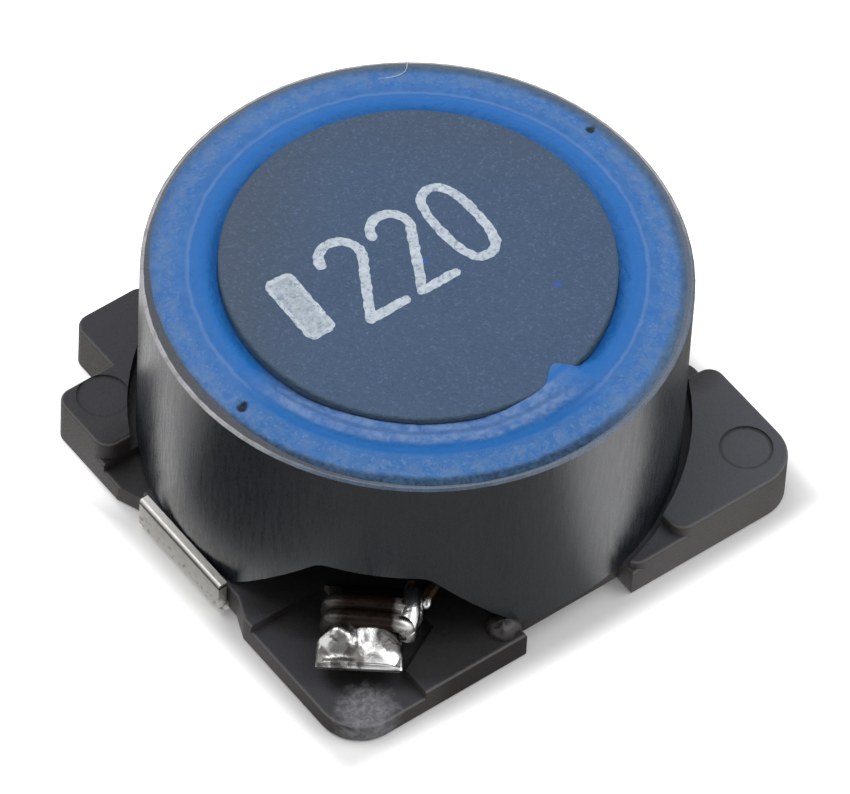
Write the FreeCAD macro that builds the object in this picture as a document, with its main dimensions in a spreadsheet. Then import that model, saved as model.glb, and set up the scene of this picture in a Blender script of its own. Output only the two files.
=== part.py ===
"""Shielded surface-mount power inductor, 12.5 mm square.

A drum core with its winding stands on a moulded terminal base, inside a ring core.
Two stamped terminals are moulded into the base: each has a pad under the base, a strip up
its side and a hook in a corner bay, where one end of the winding is wrapped and soldered.
A bead of adhesive joins the drum core to the ring core at the top.

Frame: origin at the bottom centre, +Z up, the terminal strips on the -X and +X sides.
"""
import FreeCAD, Part
import Sketcher
import math
import os

from FreeCAD import Placement, Rotation, Vector

# Driving dimensions in millimetres, and bearings in degrees. Places on the base are set in from its
# sides, and the cores are set in from each other, so that they follow the side of the base.
SIZES = {
    # terminal base
    "base_side": 12.5,
    "base_corner": 1.0,
    "base_standoff": 0.05,
    "seat_top": 0.73,
    "block_top": 1.26,
    "step_top": 0.95,
    "ledge_top": 0.52,
    "edge_round": 0.08,
    "block_along_x": 3.53,
    "block_along_y": 3.37,
    "block_corner": 0.36,
    "front_recess_half": 1.45,
    "front_recess_depth": 0.53,
    "side_recess_half": 1.75,
    "side_recess_run": 0.6,
    "side_recess_depth": 0.25,
    "platform_along_x": 2.05,
    "platform_along_y": 3.65,
    "platform_wall_in": 0.75,
    "bay_along_x": 3.25,
    "bay_inner_in": 2.65,
    "bay_outer_in": 1.35,
    "notch_width": 1.55,
    "notch_depth": 1.49,
    "mark_radius": 0.6,
    "mark_depth": 0.04,
    "plain_mark_in_x": 0.87,
    "plain_mark_in_y": 1.05,
    "notched_mark_in_x": 0.88,
    "notched_mark_in_y": 2.11,
    # ring core
    "ring_margin": 0.2,
    "ring_wall": 1.22,
    "ring_height": 5.2,
    "ring_chamfer": 0.05,
    "bore_chamfer": 0.2,
    "ring_clearance": 0.2,
    "arch_height": 2.12,
    "arch_top_half": 1.2,
    "arch_foot_half": 3.2,
    "arch_round": 0.5,
    # drum core
    "core_gap": 0.47,
    "core_rise": 0.33,
    "lower_flange": 1.1,
    "upper_flange": 1.1,
    "core_edge": 0.03,
    # winding
    "wire_diameter": 0.4,
    "coil_margin": 0.36,
    "coil_depth": 1.85,
    "wire_clearance": 0.05,
    "wire_bend": 0.22,
    "wrap_pitch": 0.44,
    "wrap_slack": 0.16,
    "lead_bearing": 10.0,
    "rim_bearing": 24.0,
    "lead_drop": 0.65,
    "lead_spread": 0.23,
    # terminals
    "sheet": 0.22,
    "strip_proud": 0.05,
    "strip_top": 1.0,
    "pad_length": 2.1,
    "pad_half_width": 1.475,
    "sheet_bend": 0.25,
    "tongue_level": 0.3,
    "tongue_inner_x": 1.6,
    "hook_level": 1.0,
    "hook_end_in_x": 1.07,
    "hook_end_in_y": 1.17,
    "hook_bearing": 51.5,
    "tab_half_width": 0.9,
    "tab_length": 0.75,
    "neck_half_width": 0.58,
    "neck_shift": 0.17,
    "neck_length": 1.25,
    "joggle_run": 0.55,
    "arm_end_y": 0.97,
    "arm_half_width": 0.85,
    # solder
    "solder_spread": 0.1,
    "solder_length": 1.2,
    "solder_crown": 0.62,
    "solder_under": 0.03,
    "solder_lip": 0.03,
    # adhesive
    "bead_crest_out": 0.49,
    "bead_crest_drop": 0.14,
    "bead_contact_drop": 0.26,
    "bead_edge_in": 0.36,
    "bead_depth": 0.7,
    "dab_radius": 0.38,
    "dab_height": 0.28,
    "dab_inside_arch": 0.36,
}

# Sections of a solder joint from the hook's end inwards: place, width and crown, as shares of its sizes.
SOLDER_SECTIONS = ((0.0, 0.95, 0.3), (0.3, 1.0, 0.95), (0.65, 0.92, 0.85), (1.0, 0.8, 0.3))

WIRE_SIDES = 12

# Bearing of the arches' middle, from -Y towards -X.
ARCH_BEARING = 45


class Length:
    """A number of millimetres together with the sheet formula that gives it."""

    def __init__(self, value, formula):
        self.value = value
        self.formula = formula

    def __add__(self, other):
        return Length(self.value + number(other), f"({self.formula} + {text(other)})")

    def __sub__(self, other):
        return Length(self.value - number(other), f"({self.formula} - {text(other)})")

    def __mul__(self, factor):
        return Length(self.value * number(factor), f"({self.formula} * {text(factor)})")

    def __truediv__(self, divisor):
        return Length(self.value / number(divisor), f"({self.formula} / {text(divisor)})")

    def __neg__(self):
        return Length(-self.value, f"(0 - {self.formula})")


def number(length):
    return length.value if isinstance(length, Length) else float(length)


def text(length):
    return length.formula if isinstance(length, Length) else repr(float(length))


def fill_sheet(doc):
    """Puts every driving dimension in a cell of its own, under its name."""
    sheet = doc.addObject("Spreadsheet::Sheet", "Sizes")
    for row, (name, value) in enumerate(SIZES.items(), start=1):
        sheet.set(f"A{row}", name)
        sheet.set(f"B{row}", str(value))
        sheet.setAlias(f"B{row}", name)
    doc.recompute()


def size(name):
    return Length(SIZES[name], f"Sizes.{name}")


def bind(feature, prop, length):
    """Ties a property of a feature to the sheet."""
    feature.setExpression(prop, text(length))


# Sizes that follow from others

def base_half():
    return size("base_side") / 2


def set_in(name):
    """A distance from the object's axis, given by how far it is set in from the side of the base."""
    return base_half() - size(name)


def beyond():
    """Safely outside the base."""
    return base_half() + size("base_corner")


def ring_radius():
    return set_in("ring_margin")


def ring_bore():
    return ring_radius() - size("ring_wall")


def flange_radius():
    return ring_bore() - size("core_gap")


def coil_radius():
    return flange_radius() - size("coil_margin")


def coil_bore():
    return coil_radius() - size("coil_depth")


def ring_top():
    return size("seat_top") + size("ring_height")


def core_top():
    return ring_top() + size("core_rise")


# Sketches

def origin_plane(body, role):
    return next(item for item in body.Origin.OriginFeatures if item.Role == role)


def new_sketch(body, name, plane="XY_Plane", level=None):
    """A sketch on one of the body's own planes, raised to a level if one is given."""
    sketch = body.newObject("Sketcher::SketchObject", name)
    sketch.AttachmentSupport = (origin_plane(body, plane), [""])
    sketch.MapMode = "FlatFace"
    if level is not None:
        bind(sketch, "AttachmentOffset.Base.z", level)
    return sketch


def pin_point(sketch, geometry, position, x, y):
    """Dimensions one point of a sketch from the origin, along both axes."""
    for kind, axis, length in (("DistanceX", -2, x), ("DistanceY", -1, y)):
        if number(length) == 0:
            sketch.addConstraint(Sketcher.Constraint("PointOnObject", geometry, position, axis))
            continue
        index = sketch.addConstraint(Sketcher.Constraint(kind, -1, 1, geometry, position, number(length)))
        sketch.setExpression(f"Constraints[{index}]", text(length))


def rounding(before, corner, after, radius):
    """Where an arc of this radius leaves the two sides of a corner, and its centre."""
    inward = (before - corner).normalize()
    onward = (after - corner).normalize()
    half = inward.getAngle(onward) / 2
    setback = radius / math.tan(half)
    centre = corner + (inward + onward).normalize() * (radius / math.sin(half))
    return corner + inward * setback, corner + onward * setback, centre


def outline(sketch, corners):
    """Draws a closed outline. Each corner is (x, y) or, where it is rounded, (x, y, radius)."""
    count = len(corners)
    points = [Vector(number(corner[0]), number(corner[1]), 0) for corner in corners]
    arrive, leave, centres = list(points), list(points), {}
    for i, corner in enumerate(corners):
        if len(corner) == 3:
            arrive[i], leave[i], centres[i] = rounding(
                points[i - 1], points[i], points[(i + 1) % count], number(corner[2]))
    lines = [sketch.addGeometry(Part.LineSegment(leave[i], arrive[(i + 1) % count])) for i in range(count)]
    for i, corner in enumerate(corners):
        if i in centres:
            round_corner(sketch, corner, lines[i - 1], lines[i], arrive[i], leave[i], centres[i])
        else:
            sketch.addConstraint(Sketcher.Constraint("Coincident", lines[i - 1], 2, lines[i], 1))
            pin_point(sketch, lines[i], 1, corner[0], corner[1])


def round_corner(sketch, corner, line_in, line_out, arrive, leave, centre):
    """Adds the arc of a rounded corner, tangent to its two sides."""
    start = math.atan2(arrive.y - centre.y, arrive.x - centre.x)
    stop = math.atan2(leave.y - centre.y, leave.x - centre.x)
    left_turn = (arrive - centre).cross(leave - centre).z > 0
    if not left_turn:
        start, stop = stop, start
    if stop < start:
        stop += 2 * math.pi
    circle = Part.Circle(centre, Vector(0, 0, 1), number(corner[2]))
    arc = sketch.addGeometry(Part.ArcOfCircle(circle, start, stop))
    arrive_end, leave_end = (1, 2) if left_turn else (2, 1)
    sketch.addConstraint(Sketcher.Constraint("Tangent", line_in, 2, arc, arrive_end))
    sketch.addConstraint(Sketcher.Constraint("Tangent", arc, leave_end, line_out, 1))
    index = sketch.addConstraint(Sketcher.Constraint("Radius", arc, number(corner[2])))
    sketch.setExpression(f"Constraints[{index}]", text(corner[2]))
    apex = sketch.addGeometry(Part.Point(Vector(number(corner[0]), number(corner[1]), 0)), True)
    sketch.addConstraint(Sketcher.Constraint("PointOnObject", apex, 1, line_in))
    sketch.addConstraint(Sketcher.Constraint("PointOnObject", apex, 1, line_out))
    pin_point(sketch, apex, 1, corner[0], corner[1])


def circle(sketch, x, y, radius):
    """Draws a circle with its centre and radius dimensioned."""
    middle = Vector(number(x), number(y), 0)
    ring = sketch.addGeometry(Part.Circle(middle, Vector(0, 0, 1), number(radius)))
    index = sketch.addConstraint(Sketcher.Constraint("Radius", ring, number(radius)))
    sketch.setExpression(f"Constraints[{index}]", text(radius))
    if number(x) == 0 and number(y) == 0:
        sketch.addConstraint(Sketcher.Constraint("Coincident", ring, 3, -1, 1))
    else:
        pin_point(sketch, ring, 3, x, y)


def turned(corners):
    """The same outline turned half a turn about the object's axis."""
    return [(-corner[0], -corner[1]) + tuple(corner[2:]) for corner in corners]


def rectangle(x_low, x_high, y_low, y_high):
    return [(x_low, y_low), (x_high, y_low), (x_high, y_high), (x_low, y_high)]


# Features

def pad(body, sketch, name, length, midplane=False):
    feature = body.newObject("PartDesign::Pad", name)
    feature.Profile = sketch
    feature.Midplane = midplane
    bind(feature, "Length", length)
    return feature


def clear_above(body, sketch, name):
    """Cuts away everything above the sketch's plane, inside its outlines."""
    feature = body.newObject("PartDesign::Pocket", name)
    feature.Profile = sketch
    feature.Type = "ThroughAll"
    feature.Reversed = True
    return feature


def sink(body, sketch, name, depth):
    """Cuts down from the sketch's plane to a depth."""
    feature = body.newObject("PartDesign::Pocket", name)
    feature.Profile = sketch
    feature.Type = "Length"
    bind(feature, "Length", depth)
    return feature


def revolve(body, sketch, name):
    feature = body.newObject("PartDesign::Revolution", name)
    feature.Profile = sketch
    feature.ReferenceAxis = (sketch, ["V_Axis"])
    feature.Angle = 360
    return feature


def round_edges(body, name, chosen, radius):
    """Rounds those edges of the body so far that the test picks."""
    body.Document.recompute()
    tip = body.Tip
    names = [f"Edge{i}" for i, edge in enumerate(tip.Shape.Edges, start=1) if chosen(edge)]
    feature = body.newObject("PartDesign::Fillet", name)
    feature.Base = (tip, names)
    bind(feature, "Radius", radius)
    return feature


# Terminal base

def base_blank(doc):
    """The moulding before the terminals are let into it."""
    body = doc.addObject("PartDesign::Body", "base_blank")
    side = base_half()
    corner = size("base_corner")
    standoff = size("base_standoff")
    plate = new_sketch(body, "plate_outline", level=standoff)
    outline(plate, plate_corners())
    pad(body, plate, "plate", size("seat_top") - standoff)
    rim = size("edge_round")
    round_edges(body, "plate_rims", rims_at(size("seat_top")), rim)

    block_x, block_y = set_in("block_along_x"), set_in("block_along_y")
    block_round = size("block_corner")
    steps = new_sketch(body, "step_outlines", level=standoff)
    step_end = block_x + block_round
    step = [(size("front_recess_half"), -side, block_round), (step_end, -side), (step_end, -block_y),
            (size("front_recess_half"), -block_y)]
    outline(steps, step)
    outline(steps, turned(step))
    pad(body, steps, "low_steps", size("step_top") - standoff)
    round_edges(body, "step_rims", rims_at(size("step_top")), rim)

    blocks = new_sketch(body, "block_outlines", level=standoff)
    inner_end, far_end = (block_x, -side, block_round), [(side, -block_y, block_round), (block_x, -block_y)]
    outline(blocks, [inner_end, (side, -side, corner)] + far_end)
    outline(blocks, turned([inner_end]) + notched_corner() + turned(far_end))
    pad(body, blocks, "corner_blocks", size("block_top") - standoff)
    round_edges(body, "block_rims", rims_at(size("block_top")), rim)

    seat = new_sketch(body, "ring_seat", level=size("seat_top"))
    circle(seat, 0, 0, ring_radius() + size("ring_clearance"))
    clear_above(body, seat, "ring_pocket")

    ledges = new_sketch(body, "ledge_outlines", level=size("ledge_top"))
    ledge = rectangle(-beyond(), -ring_bore(), size("side_recess_half"), block_y)
    for opening in (bay_corners(), ledge):
        outline(ledges, opening)
        outline(ledges, turned(opening))
    clear_above(body, ledges, "hook_bays_and_ledges")

    marks = new_sketch(body, "ejector_marks", level=size("block_top"))
    circle(marks, set_in("plain_mark_in_x"), -set_in("plain_mark_in_y"), size("mark_radius"))
    circle(marks, -set_in("notched_mark_in_x"), set_in("notched_mark_in_y"), size("mark_radius"))
    sink(body, marks, "ejector_mark_sinks", size("mark_depth"))
    round_edges(body, "bay_rims", rims_at(size("ledge_top"), outside=side), rim)
    return body


def rims_at(level, outside=None):
    """Picks the edges at this level, or only those that reach out to the sides of the base."""
    def chosen(edge):
        ends = [vertex.Point for vertex in edge.Vertexes]
        if any(abs(end.z - number(level)) > 1e-6 for end in ends):
            return False
        return outside is None or all(max(abs(end.x), abs(end.y)) > number(outside) - 1e-6 for end in ends)
    return chosen


def plate_corners():
    """Plan of the base: a rounded square, drawn in at the middle of each side."""
    side = base_half()
    corner = size("base_corner")
    front_half, front_in = size("front_recess_half"), size("front_recess_depth")
    side_half, side_in = size("side_recess_half"), size("side_recess_depth")
    slope_end = side_half + size("side_recess_run")
    front_edge = [(-side, -side, corner), (-front_half, -side), (-front_half, front_in - side),
                  (front_half, front_in - side), (front_half, -side)]
    right_edge = [(side, -side, corner), (side, -slope_end), (side - side_in, -side_half),
                  (side - side_in, side_half), (side, slope_end)]
    return front_edge + right_edge + turned(front_edge) + notched_corner() + turned(right_edge[1:])


def notched_corner():
    """The cut-out at one corner of the base, which tells the two ends apart."""
    side = base_half()
    notch_x, notch_y = -set_in("notch_width"), set_in("notch_depth")
    edge_round = size("block_corner")
    return [(notch_x, side, edge_round), (notch_x, notch_y), (-side, notch_y, edge_round)]


def bay_corners():
    """Plan of the lowered bay round the front hook, which leaves room under it for the wire."""
    away = -beyond()
    edge_x, edge_y = -set_in("platform_along_x"), -set_in("platform_along_y")
    bay_x = -set_in("bay_along_x")
    return [(away, away), (edge_x, away), (edge_x, -set_in("platform_wall_in")),
            (bay_x, -set_in("bay_outer_in")), (bay_x, -set_in("bay_inner_in")), (edge_x, edge_y), (away, edge_y)]


# Ring core and drum core

def ring_core(doc):
    """Ferrite ring, chamfered at the top, with an arch at two opposite corners for the leads."""
    body = doc.addObject("PartDesign::Body", "ring_core")
    foot, top = size("seat_top"), ring_top()
    outer, bore = ring_radius(), ring_bore()
    edge, bore_edge = size("ring_chamfer"), size("bore_chamfer")
    section = new_sketch(body, "ring_section", "XZ_Plane")
    outline(section, [(bore, foot), (outer, foot), (outer, top - edge), (outer - edge, top),
                      (bore + bore_edge, top), (bore, top - bore_edge)])
    revolve(body, section, "ring")

    arch = new_sketch(body, "arch_outline", "XZ_Plane")
    arch.AttachmentOffset = Placement(Vector(), Rotation(Vector(0, 1, 0), -ARCH_BEARING))
    half_foot, half_top = size("arch_foot_half"), size("arch_top_half")
    crown = foot + size("arch_height")
    arch_round = size("arch_round")
    outline(arch, [(-half_foot, foot), (half_foot, foot), (half_top, crown, arch_round),
                   (-half_top, crown, arch_round)])
    arches = body.newObject("PartDesign::Pocket", "lead_arches")
    arches.Profile = arch
    arches.Type = "ThroughAll"
    arches.Midplane = True
    return body


def drum_core(doc):
    """Ferrite spool: a post between two flanges."""
    body = doc.addObject("PartDesign::Body", "drum_core")
    foot, top = size("seat_top"), core_top()
    low, high = foot + size("lower_flange"), top - size("upper_flange")
    flange, post, edge = flange_radius(), coil_bore() - size("wire_clearance"), size("core_edge")
    section = new_sketch(body, "drum_section", "XZ_Plane")
    rim = flange - edge
    outline(section, [(0, foot), (rim, foot), (flange, foot + edge), (flange, low - edge), (rim, low),
                      (post, low), (post, high), (rim, high), (flange, high + edge), (flange, top - edge),
                      (rim, top), (0, top)])
    revolve(body, section, "drum")
    return body


# Terminals

def terminal(doc, name, bearing):
    """One stamped terminal: pad, strip, tongue and arm with its hook, turned to its side."""
    clip = terminal_clip(doc, name + "_clip")
    hook = terminal_hook(doc, name + "_hook")
    whole = doc.addObject("Part::MultiFuse", name)
    whole.Shapes = [clip, hook]
    whole.Refine = True
    whole.Placement = Placement(Vector(), Rotation(Vector(0, 0, 1), bearing))
    return whole


def terminal_clip(doc, name):
    """Side view of the sheet: strip, pad, the step up to the tongue, and the tongue."""
    body = doc.addObject("PartDesign::Body", name)
    sheet, bend = size("sheet"), size("sheet_bend")
    outside = -(base_half() + size("strip_proud"))
    pad_end = outside + size("pad_length")
    level = size("tongue_level")
    section = new_sketch(body, name + "_section", "XZ_Plane")
    outline(section, [
        (outside, 0, bend), (pad_end, 0, sheet / 2), (pad_end, level), (-size("tongue_inner_x"), level),
        (-size("tongue_inner_x"), level + sheet), (pad_end - sheet, level + sheet, sheet / 2),
        (pad_end - sheet, sheet), (outside + sheet, sheet), (outside + sheet, size("strip_top")),
        (outside, size("strip_top"), sheet / 3)])
    pad(body, section, name + "_sheet", size("pad_half_width") * 2, midplane=True)
    return body


def terminal_hook(doc, name):
    """Arm, joggle and flared hook, drawn along the hook's own line and set on its bearing."""
    body = doc.addObject("PartDesign::Body", name)
    sheet, low, high = size("sheet"), size("tongue_level"), size("hook_level")
    tab_half, neck_half = size("tab_half_width"), size("neck_half_width")
    shoulder = size("tab_length")
    root = shoulder + size("neck_length")
    foot = root + size("joggle_run")
    arm_end = (set_in("hook_end_in_y") - size("arm_end_y")) / math.sin(math.radians(SIZES["hook_bearing"]))
    section = new_sketch(body, name + "_section", "XZ_Plane")
    outline(section, [
        (0, high), (root, high), (foot, low), (arm_end, low), (arm_end, low + sheet),
        (foot + sheet / 2, low + sheet), (root + sheet / 2, high + sheet), (0, high + sheet)])
    pad(body, section, name + "_sheet", tab_half * 2, midplane=True)

    plan = new_sketch(body, name + "_plan", level=low - sheet)
    arm_half = size("arm_half_width")
    for side in (1, -1):
        neck_edge = neck_half * side - size("neck_shift")
        outline(plan, [(shoulder / 2, tab_half * side), (shoulder, neck_edge), (root, neck_edge),
                       (foot, arm_half * side), (arm_end + sheet, arm_half * side),
                       (arm_end + sheet, (tab_half + sheet) * side), (shoulder / 2, (tab_half + sheet) * side)])
    clear_above(body, plan, name + "_flanks")
    body.Placement = hook_place()
    return body


def hook_place():
    """Where the hook's own line starts, at the middle of its outer edge, and its bearing."""
    corner = Vector(-number(set_in("hook_end_in_x")), -number(set_in("hook_end_in_y")), 0)
    return Placement(corner, Rotation(Vector(0, 0, 1), SIZES["hook_bearing"]))


# Winding

def winding(doc, name):
    """The coil as one wound body, with its two leads wrapped round the hooks."""
    coil = coil_body()
    lead = wire_along(lead_points(), SIZES["wire_diameter"] / 2, SIZES["wire_bend"])
    other_lead = lead.rotated(Vector(), Vector(0, 0, 1), 180)
    feature = doc.addObject("Part::Feature", name)
    feature.Shape = coil.fuse([lead, other_lead]).removeSplitter()
    return feature


def coil_body():
    """The coil between the flanges. Its outside shows one ridge for each turn of wire."""
    clearance, wire = SIZES["wire_clearance"], SIZES["wire_diameter"]
    inner, outer = number(coil_bore()), number(coil_radius())
    low = SIZES["seat_top"] + SIZES["lower_flange"] + clearance
    high = number(core_top()) - SIZES["upper_flange"] - clearance
    turns = int((high - low) / wire)
    pitch = (high - low) / turns
    valley = outer - wire / 2
    corners = [Vector(inner, 0, low)]
    for turn in range(turns):
        start = low + turn * pitch
        corners += [Vector(valley, 0, start), Vector(outer, 0, start + pitch / 2)]
    corners += [Vector(valley, 0, high), Vector(inner, 0, high)]
    return Part.Face(Part.makePolygon(corners + corners[:1])).revolve(Vector(), Vector(0, 0, 1), 360)


def lead_points():
    """Corners of the lead's way: off the coil, over the lower flange and twice round the neck."""
    wire = SIZES["wire_diameter"]
    reach = wire / 2 + SIZES["wire_clearance"]
    left = SIZES["neck_half_width"] - SIZES["neck_shift"] + reach
    right = -SIZES["neck_half_width"] - SIZES["neck_shift"] - reach
    loose_right = right - SIZES["wrap_slack"]
    over = SIZES["hook_level"] + SIZES["sheet"] + reach
    under = SIZES["hook_level"] - reach
    leave = SIZES["seat_top"] + SIZES["lower_flange"] + reach
    coil_exit = at_bearing(number(coil_radius()) - wire / 2, SIZES["lead_bearing"], leave)
    over_rim = at_bearing(number(flange_radius()) + reach, SIZES["rim_bearing"], leave)

    first = SIZES["tab_length"] + SIZES["neck_length"] - reach
    step = SIZES["wrap_pitch"] / 4
    beside = (first, loose_right - SIZES["lead_spread"], under + SIZES["lead_drop"])
    turns = [(loose_right, under), (left, under), (left, over), (loose_right, over),
             (right, under), (left, under), (left, over), (right, over), (right, (over + under) / 2)]
    wraps = [(first - quarter * step, across, level) for quarter, (across, level) in enumerate(turns)]
    place = hook_place()
    return [coil_exit, over_rim] + [place.multVec(Vector(*point)) for point in [beside] + wraps]


def at_bearing(radius, degrees, level):
    """A point at this radius, its bearing counted from -Y towards -X."""
    bearing = math.radians(degrees)
    return Vector(-radius * math.sin(bearing), -radius * math.cos(bearing), level)


def wire_along(points, radius, bend):
    """Wire with narrow flat sides that follows the points. Each bend is a short straight between mitres."""
    way = [points[0]]
    for before, corner, after in zip(points, points[1:], points[2:]):
        arrive, leave, _ = rounding(before, corner, after, bend)
        way += [arrive, leave]
    way.append(points[-1])

    start = (way[1] - way[0]).normalize()
    aside = start.cross(Vector(0, 0, 1)).normalize() * radius
    turn = 360 / WIRE_SIDES
    rings = [[way[0] + Rotation(start, turn * side).multVec(aside) for side in range(WIRE_SIDES)]]
    for before, corner, after in zip(way, way[1:], way[2:] + [way[-1] * 2 - way[-2]]):
        inward, onward = (corner - before).normalize(), (after - corner).normalize()
        mitre = inward + onward
        rings.append([point + inward * ((corner - point).dot(mitre) / inward.dot(mitre)) for point in rings[-1]])

    faces = [flat_face(rings[0]), flat_face(rings[-1])]
    for near, far in zip(rings, rings[1:]):
        for side in range(WIRE_SIDES):
            faces.append(flat_face([near[side - 1], near[side], far[side], far[side - 1]]))
    shell = Part.makeShell(faces)
    shell.sewShape()
    solid = Part.makeSolid(shell)
    if solid.Volume < 0:
        solid.reverse()
    return solid


def flat_face(points):
    return Part.Face(Part.makePolygon(points + points[:1]))


# Solder and adhesive

def solder_joint(doc, name, bearing, neighbours):
    """Solder over the flared end of a hook, up to the last turn of wire."""
    low = SIZES["hook_level"] - SIZES["solder_under"]
    top = SIZES["hook_level"] + SIZES["sheet"]
    half = SIZES["tab_half_width"] + SIZES["solder_spread"]
    length, crown = SIZES["solder_length"], SIZES["solder_crown"]
    sections = []
    for along, width, rise in SOLDER_SECTIONS:
        x = along * length - SIZES["solder_lip"]
        left, right = Vector(x, width * half, low), Vector(x, -width * half, low)
        arc = Part.Arc(left, Vector(x, 0, top + rise * crown), right)
        sections.append(Part.Wire([arc.toShape(), Part.makeLine(right, left)]))
    blob = Part.makeLoft(sections, True, False)
    blob.Placement = hook_place()
    blob.rotate(Vector(), Vector(0, 0, 1), bearing)
    feature = doc.addObject("Part::Feature", name)
    feature.Shape = blob.cut([neighbour.Shape for neighbour in neighbours])
    return feature


def adhesive_bead(doc):
    """Adhesive that fills the gap between the cores, stands up in a bead and films the ring's top."""
    body = doc.addObject("PartDesign::Body", "adhesive_bead")
    flange, bore, bore_edge = flange_radius(), ring_bore(), size("bore_chamfer")
    floor = ring_top() - size("bead_depth")
    section = new_sketch(body, "bead_section", "XZ_Plane")
    outline(section, [
        (flange, floor), (bore, floor), (bore, ring_top() - bore_edge), (bore + bore_edge, ring_top()),
        (ring_radius() - size("bead_edge_in"), ring_top()),
        (flange + size("bead_crest_out"), core_top() - size("bead_crest_drop")),
        (flange, core_top() - size("bead_contact_drop"))])
    revolve(body, section, "bead")
    return body


def ring_adhesive(doc, name, neighbours):
    """A dab of adhesive at the foot of each arch, between the ring core and the base."""
    radius, height, outside = SIZES["dab_radius"], SIZES["dab_height"], number(ring_radius())
    from_arch = math.asin((SIZES["arch_foot_half"] - SIZES["dab_inside_arch"]) / outside)
    foot = at_bearing(outside, ARCH_BEARING - math.degrees(from_arch), SIZES["seat_top"] - height / 2)
    dab = Part.makeCone(radius, radius / 2, height * 3 / 2, foot)
    other = dab.rotated(Vector(), Vector(0, 0, 1), 180)
    feature = doc.addObject("Part::Feature", name)
    feature.Shape = dab.fuse(other).cut([neighbour.Shape for neighbour in neighbours])
    return feature


def cut_feature(doc, name, base, tools):
    """The base shape less the tools, which stay as pieces of their own."""
    fitted = doc.addObject("Part::Cut", name)
    fitted.Base = base
    if len(tools) == 1:
        fitted.Tool = tools[0]
        return fitted
    joined = doc.addObject("Part::Compound", name + "_tools")
    joined.Links = tools
    fitted.Tool = joined
    return fitted


# The whole object

def build():
    doc = FreeCAD.newDocument("shielded_inductor")
    fill_sheet(doc)
    left = terminal(doc, "terminal_left", 0)
    right = terminal(doc, "terminal_right", 180)
    base = cut_feature(doc, "terminal_base", base_blank(doc), [left, right])
    ring = ring_core(doc)
    core = drum_core(doc)
    bead = adhesive_bead(doc)
    coil = winding(doc, "winding")
    doc.recompute()
    solder_left = solder_joint(doc, "solder_left", 0, [left, coil])
    solder_right = solder_joint(doc, "solder_right", 180, [right, coil])
    dabs = ring_adhesive(doc, "ring_adhesive", [ring, base])
    doc.recompute()
    for feature in doc.Objects:
        if "Invalid" in feature.State or "Error" in feature.State:
            raise RuntimeError(f"{feature.Name} did not build: {feature.State}")
    return [base, left, right, ring, core, coil, bead, dabs, solder_left, solder_right]


def write(pieces):
    os.makedirs("parts", exist_ok=True)
    for piece in pieces:
        if piece.Shape.isNull() or not piece.Shape.isValid() or not piece.Shape.Solids:
            raise RuntimeError(f"{piece.Name} has no sound shape")
    for piece in pieces:
        piece.Label = piece.Name
        piece.Shape.exportStep(f"parts/{piece.Name}.step")
        print(piece.Name, len(piece.Shape.Solids), "solid(s),", round(piece.Shape.Volume, 3), "mm3")


write(build())
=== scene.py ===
"""Looks of a shielded surface-mount inductor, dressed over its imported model.

Named lengths are in millimetres and bearings in degrees from +X. The scene is in metres.
"""
import bmesh
import bpy
import math
from mathutils import Matrix, Vector, noise

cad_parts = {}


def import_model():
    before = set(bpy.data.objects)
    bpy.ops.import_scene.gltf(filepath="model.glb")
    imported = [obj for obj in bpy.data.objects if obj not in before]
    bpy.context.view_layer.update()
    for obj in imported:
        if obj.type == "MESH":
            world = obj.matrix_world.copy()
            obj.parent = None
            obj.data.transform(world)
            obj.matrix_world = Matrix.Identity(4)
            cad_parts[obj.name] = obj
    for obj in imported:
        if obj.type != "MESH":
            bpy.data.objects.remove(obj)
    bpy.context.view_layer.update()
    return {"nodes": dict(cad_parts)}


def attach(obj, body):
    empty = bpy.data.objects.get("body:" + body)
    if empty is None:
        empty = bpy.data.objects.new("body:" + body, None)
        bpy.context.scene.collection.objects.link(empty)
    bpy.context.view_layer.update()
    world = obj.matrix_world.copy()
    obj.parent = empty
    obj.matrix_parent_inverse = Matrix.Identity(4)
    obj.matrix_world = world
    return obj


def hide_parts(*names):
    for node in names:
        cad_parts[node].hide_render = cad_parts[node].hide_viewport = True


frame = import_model()

MM = 0.001

# Camera, from the fit of the base's corners and the two circles on top
CAMERA_EYE = (-89.841, -109.407, 177.725)
CAMERA_RIGHT = (0.79980, -0.59908, 0.03764)
CAMERA_UP = (0.44874, 0.63837, 0.62540)
CAMERA_LENS = 433.65
CAMERA_SENSOR = 36.0

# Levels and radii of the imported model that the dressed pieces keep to
RING_TOP = 5.93
RING_RADIUS = 6.05
RING_BORE = 4.83
RING_CHAMFER = 0.05
CORE_TOP = 6.26
DISC_RADIUS = 4.36
BASE_HALF = 6.25
SEAT_TOP = 0.73
WIRE_RADIUS = 0.2
SHEET = 0.22

# The front hook's outer edge, its bearing and the underside of its sheet
HOOK_END = (-5.18, -5.08)
HOOK_BEARING = 51.5
HOOK_LEVEL = 1.0

# Ejector marks on the base, and pinholes in the blue adhesive with their widths
EJECTOR_MARKS = ((5.38, -5.20), (-5.37, 4.14))
PINHOLES = ((5.53, 1.03, 0.13), (-5.38, -0.87, 0.16))

# Colours that come back
ARCH_SHADE = (0.014, 0.012, 0.011)
DEEP_BLUE = (0.015, 0.148, 0.480)


# Small helpers

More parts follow.
